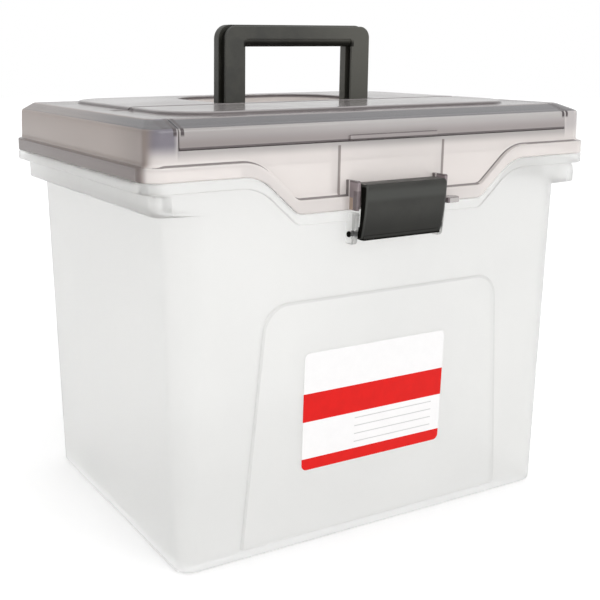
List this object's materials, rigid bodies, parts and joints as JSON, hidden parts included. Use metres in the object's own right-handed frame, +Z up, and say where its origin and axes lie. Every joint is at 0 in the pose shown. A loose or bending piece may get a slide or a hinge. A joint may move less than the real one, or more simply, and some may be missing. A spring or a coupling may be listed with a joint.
{
  "type": "portable file box",
  "caption": "Portable file box: tapered frosted tub with folder rails, hinged smoke-grey lid with folding carrying handle, front latch and a flap over a small organizer tray.",
  "frame": {"origin": "middle of the tub's flat underside, on the ground", "axes": "+X to the right along the front, +Y from the front to the hinged back, +Z up; the front with the latch faces -Y"},
  "size_m": [0.35, 0.263, 0.341],
  "materials": {
    "frosted_plastic": "frosted natural polypropylene, translucent, softly glossy",
    "smoke_plastic": "smoke-grey translucent polypropylene, glossy",
    "tray_plastic": "light smoke translucent polypropylene",
    "dark_plastic": "dark grey-olive moulded plastic with a satin surface",
    "label_paper": "printed paper label with plain colour bands and no text"
  },
  "bodies": {
    "tub": {"tub": "frosted_plastic", "label": "label_paper"},
    "lid": {"lid": "smoke_plastic", "organizer_tray": "tray_plastic"},
    "organizer_flap": {"organizer_flap": "smoke_plastic"},
    "handle": {"handle": "dark_plastic"},
    "latch": {"latch": "dark_plastic"}
  },
  "joints": [
    {"name": "lid_hinge", "type": "hinge", "parent": "tub", "child": "lid", "pos_m": [0, 0.1255, 0.2505], "axis": [-1, 0, 0], "range_deg": [0, 105]},
    {"name": "flap_hinge", "type": "hinge", "parent": "lid", "child": "organizer_flap", "pos_m": [0, -0.0205, 0.2837], "axis": [-1, 0, 0], "range_deg": [0, 95]},
    {"name": "handle_fold", "type": "hinge", "parent": "lid", "child": "handle", "pos_m": [0, 0, 0.2807], "axis": [-1, 0, 0], "range_deg": [0, 90]},
    {"name": "latch_swing", "type": "hinge", "parent": "tub", "child": "latch", "pos_m": [0, -0.1215, 0.2113], "axis": [1, 0, 0], "range_deg": [0, 90]}
  ]
}
